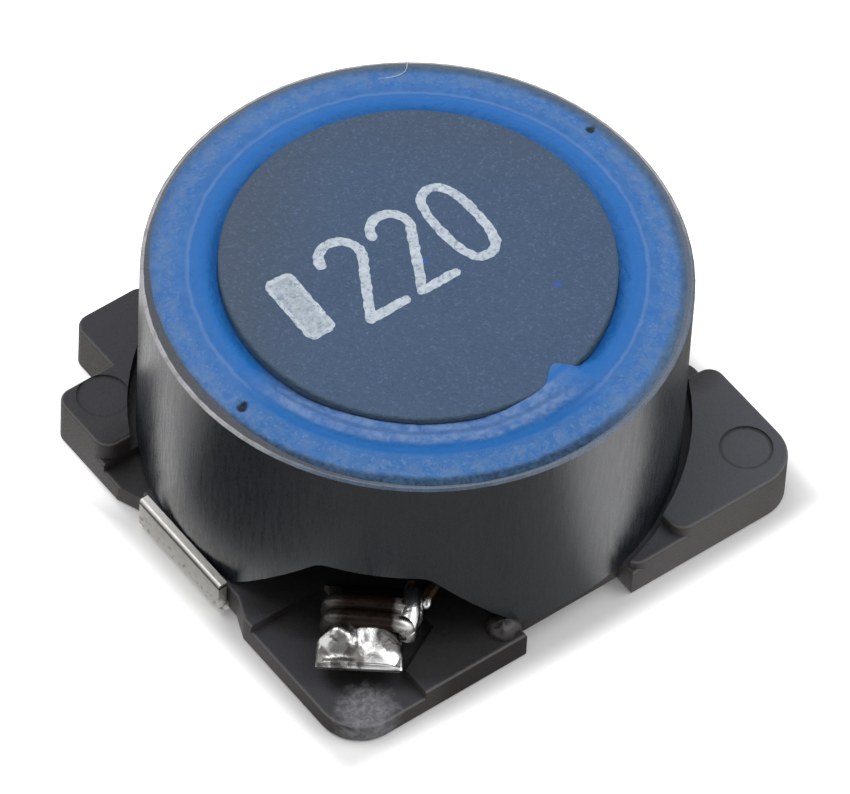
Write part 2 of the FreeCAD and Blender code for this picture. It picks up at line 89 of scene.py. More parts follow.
def named_mesh(name, points, faces, material, smooth=True):
    """A mesh piece from points in millimetres, with its faces turned outwards."""
    mesh = bpy.data.meshes.new(name)
    mesh.from_pydata([[value * MM for value in point] for point in points], [], faces)
    work = bmesh.new()
    work.from_mesh(mesh)
    bmesh.ops.remove_doubles(work, verts=work.verts, dist=1e-8)
    bmesh.ops.recalc_face_normals(work, faces=work.faces)
    work.to_mesh(mesh)
    work.free()
    mesh.polygons.foreach_set("use_smooth", [smooth] * len(mesh.polygons))
    mesh.materials.append(material)
    piece = bpy.data.objects.new(name, mesh)
    bpy.context.scene.collection.objects.link(piece)
    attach(piece, "root")
    return piece


def ramp(value, low, high):
    """Rises smoothly from 0 at low to 1 at high."""
    share = min(max((value - low) / (high - low), 0.0), 1.0)
    return share * share * (3 - 2 * share)


def bump(value, centre, half_width):
    """A smooth hill of height 1 about the centre."""
    return math.exp(-((value - centre) / half_width) ** 2)


def wave(seed, *place):
    """Soft noise from -1 to 1 at a place in millimetres."""
    x, y, z = (list(place) + [0.0, 0.0])[:3]
    return noise.noise(Vector((x + seed * 7.3, y - seed * 3.1, z + seed * 1.7)))


def polar(radius, degrees, level):
    angle = math.radians(degrees)
    return (radius * math.cos(angle), radius * math.sin(angle), level)


def angle_apart(first, second):
    """The difference between two bearings, from -180 to 180."""
    return (first - second + 180) % 360 - 180


def as_is(point):
    return point


def half_turn(point):
    return (-point[0], -point[1], point[2])


# The part repeats itself at half a turn
SIDES = (("front", as_is), ("back", half_turn))


def lathe(sections):
    """Points and faces of closed sections, one for each bearing, joined all the way round."""
    points = [point for section in sections for point in section]
    faces = []
    count, size = len(sections), len(sections[0])
    for turn in range(count):
        here, there = turn * size, (turn + 1) % count * size
        for step in range(size):
            after = (step + 1) % size
            faces.append((here + step, there + step, there + after, here + after))
    return points, faces


def tube(sections, capped=True):
    """Points and faces of closed sections, one after the other, with a face at each end."""
    points = [point for section in sections for point in section]
    faces = []
    size = len(sections[0])
    last = (len(sections) - 1) * size
    for here in range(0, last, size):
        there = here + size
        for step in range(size):
            after = (step + 1) % size
            faces.append((here + step, here + after, there + after, there + step))
    if capped:
        faces.append(tuple(range(size)))
        faces.append(tuple(range(last, last + size)))
    return points, faces


# Node groups

class Effect:
    """A shader node group with named inputs and outputs, all of them plain numbers."""

    def __init__(self, name, inputs, outputs):
        self.tree = bpy.data.node_groups.new(name, "ShaderNodeTree")
        for label, value in inputs.items():
            socket = self.tree.interface.new_socket(label, in_out="INPUT", socket_type="NodeSocketFloat")
            socket.default_value = value
        for label in outputs:
            self.tree.interface.new_socket(label, in_out="OUTPUT", socket_type="NodeSocketFloat")
        self.inputs = self.tree.nodes.new("NodeGroupInput").outputs
        self.outputs = self.tree.nodes.new("NodeGroupOutput").inputs


class Wiring:
    """Places nodes in a tree and joins them."""

    def __init__(self, tree):
        self.tree = tree

    def join(self, source, target):
        if isinstance(source, bpy.types.NodeSocket):
            self.tree.links.new(source, target)
        elif isinstance(source, tuple) and len(source) == 3 and target.type == "RGBA":
            target.default_value = source + (1.0,)
        else:
            target.default_value = source

    def node(self, kind, **sockets):
        made = self.tree.nodes.new("ShaderNode" + kind)
        for label, source in sockets.items():
            self.join(source, made.inputs[label.replace("_", " ")])
        return made

    def math(self, operation, *values, clamp=False):
        made = self.tree.nodes.new("ShaderNodeMath")
        made.operation = operation
        made.use_clamp = clamp
        for index, value in enumerate(values):
            self.join(value, made.inputs[index])
        return made.outputs[0]

    def times(self, first, second):
        return self.math("MULTIPLY", first, second)

    def plus(self, first, second):
        return self.math("ADD", first, second)

    def minus(self, first, second):
        return self.math("SUBTRACT", first, second)

    def distance(self, x, y):
        """How far a place lies off, by its two parts in plan."""
        return self.math("SQRT", self.plus(self.times(x, x), self.times(y, y)))

    def mix(self, factor, first, second):
        made = self.tree.nodes.new("ShaderNodeMix")
        made.data_type = "RGBA"
        for index, value in ((0, factor), (6, first), (7, second)):
            self.join(value, made.inputs[index])
        return made.outputs[2]

    def stretch(self, value, low, high, to_low=0.0, to_high=1.0):
        """Maps low..high smoothly to to_low..to_high."""
        made = self.tree.nodes.new("ShaderNodeMapRange")
        made.interpolation_type = "SMOOTHSTEP"
        for index, source in enumerate((value, low, high, to_low, to_high)):
            self.join(source, made.inputs[index])
        return made.outputs[0]

    def millimetres(self):
        """The place on the object, in millimetres."""
        made = self.tree.nodes.new("ShaderNodeVectorMath")
        made.operation = "SCALE"
        self.join(self.node("TexCoord").outputs["Object"], made.inputs[0])
        made.inputs["Scale"].default_value = 1 / MM
        return made.outputs[0]

    def parts(self, vector):
        """The x, y and z of a vector."""
        return self.node("SeparateXYZ", Vector=vector).outputs

    def facing_up(self):
        """How far the surface faces upwards, from -1 to 1."""
        return self.parts(self.node("NewGeometry").outputs["Normal"])[2]

    def noise(self, place, scale, detail, roughness, distortion=0.0):
        return self.node("TexNoise", Vector=place, Scale=scale, Detail=detail, Roughness=roughness,
                         Distortion=distortion).outputs["Fac"]

    def shaken(self, value, place, scale, detail, amount):
        """The value, made a little more or less from place to place."""
        noise_here = self.minus(self.noise(place, scale, detail, 0.6), 0.5)
        return self.plus(value, self.times(noise_here, amount))

    def stretched(self, place, along):
        made = self.tree.nodes.new("ShaderNodeVectorMath")
        made.operation = "MULTIPLY"
        self.join(place, made.inputs[0])
        made.inputs[1].default_value = along
        return made.outputs[0]

    def radius_and_level(self, place):
        """Distance from the object's axis, and height."""
        x, y, level = self.parts(place)
        return self.distance(x, y), level


def grain_group():
    """Fine grain: a value about 0.5, a little rougher or finer by its inputs."""
    group = Effect("fine_grain", {"Scale": 12.0, "Contrast": 1.0}, ("Value",))
    w = Wiring(group.tree)
    place = w.millimetres()
    fine = w.noise(place, group.inputs["Scale"], 4.0, 0.65)
    centred = w.times(w.minus(fine, 0.5), group.inputs["Contrast"])
    w.join(w.math("ADD", centred, 0.5, clamp=True), group.outputs["Value"])
    return group.tree


def speck_group():
    """Scattered specks: how many stand out is set by Amount."""
    group = Effect("specks", {"Scale": 9.0, "Amount": 0.3}, ("Mask",))
    w = Wiring(group.tree)
    place = w.millimetres()
    fine = w.noise(place, group.inputs["Scale"], 2.0, 0.7, 0.3)
    edge = w.minus(0.8, w.times(group.inputs["Amount"], 0.4))
    w.join(w.stretch(fine, edge, w.plus(edge, 0.08)), group.outputs["Mask"])
    return group.tree


def mottle_group():
    """Broad cloudy patches."""
    group = Effect("mottle", {"Scale": 1.2, "Sharpness": 0.25}, ("Value",))
    w = Wiring(group.tree)
    place = w.millimetres()
    broad = w.noise(place, group.inputs["Scale"], 3.0, 0.55, 0.6)
    low = w.minus(0.5, group.inputs["Sharpness"])
    high = w.plus(0.5, group.inputs["Sharpness"])
    w.join(w.stretch(broad, low, high), group.outputs["Value"])
    return group.tree


def streak_group():
    """Streaks along the object's height, as grinding or pressing leaves."""
    group = Effect("upright_streaks", {"Scale": 7.0, "Contrast": 1.0}, ("Value",))
    w = Wiring(group.tree)
    place = w.stretched(w.millimetres(), (1.0, 1.0, 0.12))
    fine = w.noise(place, group.inputs["Scale"], 4.0, 0.6)
    centred = w.times(w.minus(fine, 0.5), group.inputs["Contrast"])
    w.join(w.math("ADD", centred, 0.5, clamp=True), group.outputs["Value"])
    return group.tree


def band_group():
    """A band between two radii about the object's axis, above a level, with a ragged edge."""
    group = Effect("round_band", {"Inner": 4.0, "Outer": 5.0, "Blur": 0.1, "Ragged": 0.0, "Above": -1.0},
                   ("Mask",))
    w = Wiring(group.tree)
    place = w.millimetres()
    radius, level = w.radius_and_level(place)
    radius = w.shaken(radius, place, 2.2, 4.0, group.inputs["Ragged"])
    blur = group.inputs["Blur"]
    inside = w.stretch(radius, w.minus(group.inputs["Inner"], blur), group.inputs["Inner"])
    outside = w.stretch(radius, group.inputs["Outer"], w.plus(group.inputs["Outer"], blur), 1.0, 0.0)
    above = w.math("GREATER_THAN", level, group.inputs["Above"])
    w.join(w.times(w.times(inside, outside), above), group.outputs["Mask"])
    return group.tree


def patch_group():
    """A round patch about a place in plan, with a ragged edge."""
    group = Effect("round_patch", {"X": 0.0, "Y": 0.0, "Radius": 0.5, "Blur": 0.3, "Ragged": 0.3},
                   ("Mask",))
    w = Wiring(group.tree)
    place = w.millimetres()
    x, y, _ = w.parts(place)
    far = w.distance(w.minus(x, group.inputs["X"]), w.minus(y, group.inputs["Y"]))
    far = w.shaken(far, place, 4.0, 4.0, group.inputs["Ragged"])
    end = w.plus(group.inputs["Radius"], group.inputs["Blur"])
    w.join(w.stretch(far, group.inputs["Radius"], end, 1.0, 0.0), group.outputs["Mask"])
    return group.tree


def sector_group():
    """A sector about the object's axis: its direction, and the cosines where it fades and is full."""
    group = Effect("sector", {"X": 1.0, "Y": 0.0, "Fades": 0.5, "Full": 0.8}, ("Mask",))
    w = Wiring(group.tree)
    place = w.millimetres()
    radius, _ = w.radius_and_level(place)
    x, y, _ = w.parts(place)
    along = w.plus(w.times(x, group.inputs["X"]), w.times(y, group.inputs["Y"]))
    cosine = w.math("DIVIDE", along, w.math("MAXIMUM", radius, 0.001))
    w.join(w.stretch(cosine, group.inputs["Fades"], group.inputs["Full"]), group.outputs["Mask"])
    return group.tree


def crossing_group():
    """Across a hook's neck: a mask up to the wire's bend on one side, and one for the other bend."""
    group = Effect("neck_crossing", {"X": 0.0, "Y": 0.0, "Way": 1.0}, ("Mask", "Far Bend"))
    w = Wiring(group.tree)
    place = w.millimetres()
    x, y, _ = w.parts(place)
    angle = math.radians(HOOK_BEARING)
    x = w.times(w.minus(x, group.inputs["X"]), -math.sin(angle))
    y = w.times(w.minus(y, group.inputs["Y"]), math.cos(angle))
    across = w.times(w.plus(x, y), group.inputs["Way"])
    across = w.shaken(across, place, 5.0, 3.0, 0.3)
    w.join(w.stretch(across, -0.92, -0.66), group.outputs["Mask"])
    w.join(w.stretch(across, 0.36, 0.66), group.outputs["Far Bend"])
    return group.tree


GRAIN = grain_group()
SPECKS = speck_group()
MOTTLE = mottle_group()
STREAKS = streak_group()
BAND = band_group()
PATCH = patch_group()
SECTOR = sector_group()
CROSSING = crossing_group()


class Finish(Wiring):
    """A material with one Principled shader."""

    def __init__(self, name, **constants):
        self.material = bpy.data.materials.new(name)
        self.material.use_nodes = True
        super().__init__(self.material.node_tree)
        self.tree.nodes.clear()
        self.shader = self.tree.nodes.new("ShaderNodeBsdfPrincipled")
        end = self.tree.nodes.new("ShaderNodeOutputMaterial")
        self.tree.links.new(self.shader.outputs[0], end.inputs[0])
        for label, value in constants.items():
            self.set(label.replace("_", " "), value)

    def set(self, label, source):
        self.join(source, self.shader.inputs[label])

    def effect(self, group, output, **sockets):
        made = self.tree.nodes.new("ShaderNodeGroup")
        made.node_tree = group
        for label, source in sockets.items():
            self.join(source, made.inputs[label.replace("_", " ")])
        return made.outputs[output]

    def grain(self, scale, contrast):
        return self.effect(GRAIN, "Value", Scale=scale, Contrast=contrast)

    def mottle(self, scale, sharpness):
        return self.effect(MOTTLE, "Value", Scale=scale, Sharpness=sharpness)

    def specks(self, scale, amount):
        return self.effect(SPECKS, "Mask", Scale=scale, Amount=amount)

    def band(self, inner, outer, blur, ragged, above=-1.0):
        return self.effect(BAND, "Mask", Inner=inner, Outer=outer, Blur=blur, Ragged=ragged, Above=above)

    def patch(self, x, y, radius, blur, ragged):
        return self.effect(PATCH, "Mask", X=x, Y=y, Radius=radius, Blur=blur, Ragged=ragged)

    def sector(self, middle, half, blur):
        """A mask about a bearing, full within half less blur and faded out at half and blur."""
        angle = math.radians(middle)
        fades, full = math.radians(half + blur), math.radians(half - blur)
        return self.effect(SECTOR, "Mask", X=math.cos(angle), Y=math.sin(angle),
                           Fades=math.cos(fades), Full=math.cos(full))

    def tint(self, colour, mask, share, tone):
        """The colour, with a share of a tone where the mask is full."""
        return self.mix(self.times(mask, share), colour, tone)

    def surface(self, colour, roughness, normal):
        """Joins what varies over the surface to the shader, and gives the material."""
        self.set("Base Color", colour)
        self.set("Roughness", roughness)
        self.set("Normal", normal)
        return self.material

    def relief(self, height, depth, strength, before=None):
        """Bump of a depth in millimetres. Returns the bent normal."""
        made = self.node("Bump", Height=height, Distance=depth * MM, Strength=strength)
        if before is not None:
            self.join(before, made.inputs["Normal"])
        return made.outputs[0]


def base_finish():
    """Dark moulded resin, browner on its sides, with a flux stain. Painted shade makes it nearly black
    under the arches, in the bays beside the hooks, under the hooks and in a hollow by the ring; painted
    light lightens one block's top and painted shade darkens the other's; painted highlights run along its
    rounded edges.
    """
    f = Finish("moulded_base_resin", Specular_IOR_Level=0.35)
    grain = f.grain(16.0, 1.6)
    clouds = f.mottle(0.9, 0.3)
    side = f.facing_up()
    upward = f.stretch(side, 0.3, 0.9)
    colour = f.mix(upward, (0.050, 0.043, 0.036), (0.043, 0.044, 0.053))
    colour = f.tint(colour, grain, 0.5, (0.072, 0.072, 0.082))
    colour = f.tint(colour, clouds, 0.20, (0.028, 0.027, 0.030))
    # Painted light: this block's top is made lighter against the shadow the ring casts on it
    painted_light_on_right_block = f.times(f.sector(-42.0, 26.0, 8.0), upward)
    colour = f.tint(colour, painted_light_on_right_block, 0.95, (0.074, 0.077, 0.090))
    # Painted shade: the far block's top is made darker
    painted_shade_on_far_block = f.times(f.sector(150.0, 38.0, 8.0), upward)
    colour = f.tint(colour, painted_shade_on_far_block, 0.45, (0.028, 0.029, 0.035))
    for x, y in EJECTOR_MARKS:
        outside = f.patch(x, y, 0.58, blur=0.06, ragged=0.0)
        inside = f.patch(x, y, 0.50, blur=0.06, ragged=0.0)
        edge = f.times(f.minus(outside, inside), upward)
        colour = f.tint(colour, edge, 0.55, (0.016, 0.016, 0.018))
    # Painted shade, nearly black, under the ring's arches and in the bays beside the hooks
    under_arch = f.band(0.0, 6.15, blur=0.45, ragged=0.2)
    for middle in (-135.0, 45.0):
        dark = f.times(under_arch, f.sector(middle, 27.0, 5.0))
        bay = f.band(0.0, 7.10, blur=0.4, ragged=0.2)
        painted_bay_shade = f.times(bay, f.sector(middle + 19.0, 14.0, 4.0))
        dark = f.math("MAXIMUM", dark, f.times(painted_bay_shade, 0.8))
        colour = f.tint(colour, dark, 0.85, ARCH_SHADE)
    for way in (1, -1):
        # Painted shadow under each hook's overhang
        painted_hook_shadow = f.patch(-4.98 * way, -4.83 * way, 0.55, blur=0.40, ragged=0.15)
        colour = f.tint(colour, painted_hook_shadow, 0.88, (0.012, 0.010, 0.010))
        # Painted shade in a hollow beside the ring
        painted_recess_shade = f.patch(-5.70 * way, 2.55 * way, 0.45, blur=0.60, ragged=0.15)
        colour = f.tint(colour, painted_recess_shade, 0.60, ARCH_SHADE)
    # Painted highlight along the rounded edges, where the surface turns from the top to the side
    rounding = f.times(f.stretch(side, 0.25, 0.55), f.stretch(side, 0.80, 0.97, 1.0, 0.0))
    colour = f.tint(colour, rounding, 0.55, (0.16, 0.155, 0.155))
    flux = f.patch(-5.44, -5.76, 0.34, blur=0.48, ragged=0.7)
    specks = f.mottle(7.5, 0.3)
    colour = f.tint(colour, flux, f.stretch(specks, 0.0, 1.0, 0.35, 0.95), (0.25, 0.25, 0.27))
    return f.surface(colour, f.stretch(grain, 0.2, 0.8, 0.50, 0.68), f.relief(grain, 0.012, 0.6))


def tin_finish():
    """Tinned sheet, pitted low on the strips, with painted shade where the hook's arm leaves the base, a
    painted shadow line below the strips' tops, and upright faces darkened partly as duller oxidised tin
    and partly as a painted dim reflection.
    """
    f = Finish("tinned_terminal", Metallic=1.0)
    grain = f.grain(9.0, 1.4)
    level = f.parts(f.millimetres())[2]
    side = f.facing_up()
    low = f.stretch(level, 0.15, 0.75, 1.0, 0.0)
    pits = f.specks(7.0, 0.62)
    # Upright faces are darker: partly duller oxidised tin, partly a painted dim reflection of the shaded
    # floor below
    upright = f.stretch(side, 0.2, 0.7, 1.0, 0.0)
    colour = f.mix(grain, (0.50, 0.49, 0.47), (0.70, 0.69, 0.66))
    colour = f.tint(colour, upright, 0.8, (0.47, 0.46, 0.43))
    # Painted shade with some flux residue where the hook's arm leaves the base under the arch
    for way in (1, -1):
        root = f.patch(-3.58 * way, -3.35 * way, 0.75, blur=0.25, ragged=0.2)
        colour = f.tint(colour, root, 0.92, (0.020, 0.016, 0.013))
    # A painted shadow line in the groove between the strip's top and its upright face
    edge = f.times(f.stretch(level, 0.84, 0.88), f.stretch(level, 0.91, 0.95, 1.0, 0.0))
    colour = f.tint(colour, edge, upright, (0.06, 0.055, 0.05))
    colour = f.tint(colour, pits, low, (0.17, 0.16, 0.145))
    return f.surface(colour, f.stretch(grain, 0.2, 0.8, 0.38, 0.55), f.relief(grain, 0.010, 0.5))


def ring_finish():
    """Charcoal ferrite with upright grinding streaks, and a pale painted highlight along the chamfer
    round the top, broken by nicks.
    """
    f = Finish("ring_ferrite_charcoal", Specular_IOR_Level=0.5, IOR=1.8)
    streaks = f.effect(STREAKS, "Value", Scale=11.0, Contrast=1.2)
    grain = f.grain(22.0, 1.2)
    colour = f.mix(streaks, (0.008, 0.011, 0.015), (0.019, 0.022, 0.028))
    colour = f.tint(colour, f.specks(11.0, 0.35), 0.5, (0.04, 0.04, 0.045))
    top = f.band(4.0, RING_RADIUS, blur=0.1, ragged=0.0, above=RING_TOP - 0.005)
    colour = f.mix(top, colour, (0.003, 0.009, 0.024))
    margin = f.band(RING_RADIUS - 0.19, RING_RADIUS + 0.1, blur=0.03, ragged=0.06, above=RING_TOP - 0.005)
    bare = f.times(f.sector(178.0, 42.0, 14.0), 0.8)
    margin = f.times(margin, f.minus(0.8, bare))
    colour = f.mix(margin, colour, (0.055, 0.085, 0.135))
    # A pale line painted along the top's chamfer as its highlight, bluer on the near side and broken by
    # nicks
    edge = f.band(RING_RADIUS - 0.075, RING_RADIUS + 0.1, blur=0.02, ragged=0.05,
                  above=RING_TOP - RING_CHAMFER)
    nicks = f.mottle(3.0, 0.25)
    highlight_between_nicks = f.stretch(nicks, 0.0, 0.8, 0.65, 1.0)
    pale = f.mix(f.sector(-92.0, 68.0, 14.0), (0.42, 0.41, 0.43), (0.078, 0.118, 0.190))
    colour = f.tint(colour, edge, highlight_between_nicks, pale)
    return f.surface(colour, f.stretch(streaks, 0.2, 0.8, 0.22, 0.34),
                     f.relief(grain, 0.006, 0.3, f.relief(streaks, 0.006, 0.3)))


def disc_finish():
    """Slate ferrite with light specks and two blue spots, greyer to the left and far side as a painted
    reflection, and its rim lightened as painted light where it lies in shade.
    """
    f = Finish("core_ferrite_slate", Specular_IOR_Level=0.35)
    grain = f.grain(8.0, 2.2)
    clouds = f.mottle(0.5, 0.3)
    colour = f.mix(clouds, (0.047, 0.094, 0.182), (0.058, 0.106, 0.198))
    place = f.parts(f.millimetres())
    # Painted reflection: greyer towards the left and towards the far side
    left = f.stretch(f.minus(place[1], place[0]), 2.0, 6.0)
    colour = f.tint(colour, left, 0.7, (0.072, 0.095, 0.127))
    far = f.stretch(f.plus(place[1], place[0]), 2.5, 6.0)
    colour = f.tint(colour, far, 0.6, (0.063, 0.096, 0.148))
    colour = f.tint(colour, f.stretch(grain, 0.3, 0.9), 0.55, (0.085, 0.130, 0.225))
    specks = f.specks(13.0, 0.55)
    colour = f.tint(colour, specks, 0.50, (0.13, 0.20, 0.34))
    # The disc's rim and side are lightened as painted light, where they lie in shade
    rim = f.band(DISC_RADIUS - 0.035, DISC_RADIUS + 0.1, blur=0.05, ragged=0.12, above=5.0)
    colour = f.tint(colour, rim, 0.8, (0.062, 0.105, 0.150))
    for x, y, wide in ((0.11, -0.02, 0.04), (2.1, -2.25, 0.02)):
        spot = f.patch(x, y, wide, blur=0.10, ragged=0.14)
        colour = f.tint(colour, spot, 0.85, (0.03, 0.12, 0.50))
    colour = f.mix(f.stretch(place[2], 3.0, 4.5, 1.0, 0.0), colour, (0.012, 0.012, 0.013))
    return f.surface(colour, f.stretch(grain, 0.2, 0.8, 0.48, 0.64), f.relief(grain, 0.055, 0.9))


def adhesive_finish():
    """Milky blue adhesive in rings: deep beside the disc, hazy further out, navy at the rim. A painted
    highlight runs along the crest, and painted light brightens the milky band by the disc on the near
    side.
    """
    f = Finish("blue_adhesive_milky", Specular_IOR_Level=0.22)
    near = f.sector(-126.0, 44.0, 9.0)
    clouds = f.mottle(1.3, 0.28)
    fine = f.mottle(5.0, 0.25)
    colour = f.mix(clouds, (0.022, 0.142, 0.465), (0.050, 0.170, 0.440))
    colour = f.tint(colour, fine, 0.5, (0.095, 0.235, 0.505))
    patches = f.mottle(2.7, 0.22)
    colour = f.tint(colour, patches, 0.4, (0.016, 0.115, 0.385))
    colour = f.tint(colour, near, 0.35, (0.030, 0.140, 0.370))
    deep = f.band(4.20, 4.74, blur=0.10, ragged=0.12)
    colour = f.tint(colour, deep, 0.8, DEEP_BLUE)
    away = f.minus(1.0, near)
    trough = f.band(4.20, 4.95, blur=0.06, ragged=0.10)
    colour = f.tint(colour, f.times(trough, away), 0.7, DEEP_BLUE)
    # A pale highlight painted along the crest, away from the near side
    crest = f.band(5.00, 5.03, blur=0.045, ragged=0.14)
    colour = f.tint(colour, f.times(crest, away), 0.5, (0.125, 0.245, 0.520))
    # On the near side the milky band by the disc is lightened as painted light, where its slope faces the
    # lamp
    milky = f.band(4.36, 4.84, blur=0.12, ragged=0.20)
    milky_tone_and_painted_light = f.mix(fine, (0.050, 0.155, 0.420), (0.165, 0.270, 0.505))
    colour = f.tint(colour, f.times(milky, near), 0.95, milky_tone_and_painted_light)
    seam = f.band(4.63, 4.66, blur=0.08, ragged=0.16)
    colour = f.tint(colour, f.times(seam, near), 0.55, (0.030, 0.100, 0.280))
    arc = f.band(4.96, 5.10, blur=0.10, ragged=0.10)
    colour = f.tint(colour, f.times(arc, near), 0.9, (0.006, 0.130, 0.430))
    specks = f.specks(12.0, 0.62)
    outer = f.band(5.30, 5.72, blur=0.15, ragged=0.20)
    colour = f.tint(colour, f.times(outer, specks), 0.4, (0.17, 0.29, 0.52))
    haze = f.band(5.42, 5.74, blur=0.16, ragged=0.30)
    haze = f.times(haze, f.mottle(3.6, 0.16))
    colour = f.tint(colour, haze, 0.6, (0.120, 0.215, 0.410))
    rim = f.band(5.80, 6.2, blur=0.17, ragged=0.16)
    pale = f.mix(fine, (0.042, 0.090, 0.165), (0.080, 0.140, 0.235))
    blots = f.mottle(9.0, 0.2)
    navy = f.mix(blots, (0.002, 0.012, 0.032), (0.024, 0.070, 0.135))
    far_side = f.sector(115.0, 45.0, 15.0)
    thin = f.times(rim, f.stretch(far_side, 0.0, 1.0, 0.9, 0.4))
    colour = f.mix(thin, colour, f.mix(near, pale, navy))
    for x, y, wide in PINHOLES:
        hole = f.patch(x, y, wide * 0.45, blur=0.08, ragged=0.28)
        colour = f.tint(colour, hole, 0.95, (0.004, 0.012, 0.016))
    return f.surface(colour, f.stretch(fine, 0.0, 1.0, 0.36, 0.52), f.relief(fine, 0.03, 0.5))


def clear_finish():
    """Clear adhesive over the dark base."""
    f = Finish("clear_adhesive_dab", Specular_IOR_Level=0.5)
    clouds = f.mottle(4.0, 0.3)
    colour = f.mix(clouds, (0.018, 0.016, 0.015), (0.038, 0.035, 0.034))
    return f.surface(colour, f.stretch(clouds, 0.0, 1.0, 0.25, 0.4), f.relief(clouds, 0.02, 0.5))


def copper_finish():
    """Enamelled copper of the wound coil."""
    f = Finish("enamelled_copper_wire", Metallic=1.0)
    grain = f.grain(6.0, 1.2)
    colour = f.mix(grain, (0.11, 0.048, 0.024), (0.22, 0.105, 0.055))
    return f.surface(colour, f.stretch(grain, 0.2, 0.8, 0.26, 0.40), f.relief(grain, 0.01, 0.3))


def lead_finish():
    """Enamelled copper along the leads, painted near black as the shade they lie in."""
    f = Finish("shaded_enamelled_lead", Metallic=1.0)
    grain = f.grain(6.0, 1.4)
    # Painted near black for the shade the leads lie in
    colour = f.mix(grain, (0.012, 0.009, 0.008), (0.048, 0.030, 0.021))
    return f.surface(colour, f.stretch(grain, 0.2, 0.8, 0.22, 0.40), f.relief(grain, 0.02, 0.4))


def wrap_finish(name, way):
    """Wire on the hook: enamelled wire painted near black as shade where it crosses the neck, tinned by
    solder at its bends.
    """
    f = Finish(name, Specular_IOR_Level=0.2)
    grain = f.grain(5.0, 1.4)
    where = {"X": way * HOOK_END[0], "Y": way * HOOK_END[1], "Way": way}
    bare = f.mix(grain, (0.55, 0.54, 0.52), (0.86, 0.85, 0.83))
    # Where the wire crosses the neck it is painted near black as shade, and its gloss is taken down
    shaded_crossing = f.mix(grain, (0.006, 0.005, 0.005), (0.028, 0.016, 0.010))
    crossing = f.effect(CROSSING, "Mask", **where)
    far_bend = f.effect(CROSSING, "Far Bend", **where)
    colour = f.mix(crossing, bare, shaded_crossing)
    colour = f.tint(colour, far_bend, 0.6, (0.11, 0.105, 0.10))
    dull = f.times(crossing, f.minus(1.0, f.times(far_bend, 0.6)))
    f.set("Metallic", f.minus(1.0, f.times(dull, 0.9)))
    return f.surface(colour, f.stretch(grain, 0.2, 0.8, 0.20, 0.42), f.relief(grain, 0.02, 0.4))


def solder_finish():
    """Bright solder, dull on one side, with painted shade beside the wraps."""
    f = Finish("bright_solder", Metallic=1.0)
    patches = f.mottle(3.2, 0.14)
    fine = f.grain(8.0, 1.5)
    dull = f.patch(-5.32, -4.46, 0.62, blur=0.22, ragged=0.3)
    dull = f.math("MAXIMUM", dull, f.patch(5.32, 4.46, 0.62, blur=0.22, ragged=0.3))
    dull = f.times(dull, f.stretch(patches, 0.0, 1.0, 0.25, 1.0))
    colour = f.mix(dull, (0.92, 0.92, 0.91), (0.15, 0.145, 0.135))
    # Painted shade beside the wraps
    for way in (1, -1):
        painted_shade = f.patch(-4.21 * way, -5.03 * way, 0.31, blur=0.13, ragged=0.25)
        colour = f.tint(colour, painted_shade, 0.9, (0.040, 0.034, 0.030))
    return f.surface(colour, f.stretch(dull, 0.0, 1.0, 0.22, 0.38),
                     f.relief(fine, 0.006, 0.3, f.relief(patches, 0.010, 0.3)))


def ink_finish(name, thin, thick):
    """White ink with a grain and small gaps where the ferrite shows through."""
    f = Finish(name)
    grain = f.grain(9.0, 2.2)
    clouds = f.mottle(3.5, 0.2)
    gaps = f.specks(10.0, 0.62)
    colour = f.mix(f.times(clouds, 0.35), f.mix(grain, thin, thick), thin)
    colour = f.tint(colour, gaps, 0.6, (0.17, 0.22, 0.31))
    return f.surface(colour, f.stretch(grain, 0.2, 0.8, 0.5, 0.7), f.relief(grain, 0.01, 0.4))


BASE = base_finish()
TIN = tin_finish()
RING = ring_finish()
DISC = disc_finish()
ADHESIVE = adhesive_finish()
CLEAR = clear_finish()
COPPER = copper_finish()
LEAD = lead_finish()
WRAP_FRONT = wrap_finish("wire_on_front_hook", 1.0)
WRAP_BACK = wrap_finish("wire_on_back_hook", -1.0)
SOLDER = solder_finish()
INK = ink_finish("white_printed_ink", (0.38, 0.45, 0.53), (0.70, 0.76, 0.83))
THIN_INK = ink_finish("white_ink_laid_thin", (0.27, 0.33, 0.39), (0.58, 0.64, 0.72))


def dress(node, material):
    """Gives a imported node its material."""
    piece = frame["nodes"][node]
    if not piece.data.materials:
        piece.data.materials.append(material)
    for slot in piece.material_slots:
        slot.material = material


for node, material in (("terminal_base", BASE), ("terminal_left", TIN), ("terminal_right", TIN),
                       ("ring_core", RING), ("drum_core", DISC)):
    dress(node, material)


# Adhesive bead

BEAD_COUNT = 720
BEAD_STEPS = 40

# Levels of the bead's underside, where it meets the disc, and its crest and trough
BEAD_FLOOR = 5.24
BEAD_CONTACT = 6.00
BEAD_CREST = 6.13
BEAD_TROUGH = 6.06

# Bearings where the run-over up the disc's side begins and ends
SMEAR_RISE = (-112.0, -88.0)
SMEAR_FALL = (-77.5, -73.5)


def bead_edge(degrees):
    """How far out the film on the ring's top reaches at a bearing. It stops short on one side."""
    angle = math.radians(degrees)
    round_place = (math.cos(angle) * 2, math.sin(angle) * 2)
    fine_place = (math.cos(angle) * 14, math.sin(angle) * 14)
    short = bump(angle_apart(degrees, 178), 0, 30)
    full = bump(angle_apart(degrees, -112), 0, 45)
    return 5.87 + 0.05 * full - 0.14 * short + 0.03 * wave(3, *round_place) + 0.02 * wave(4, *fine_place)


def near_side(degrees):
    """1 on the side where the adhesive stands milky against the disc, and 0 on the other."""
    angle = angle_apart(degrees, 0)
    return ramp(angle, -168, -142) * (1 - ramp(angle, -74, -68))


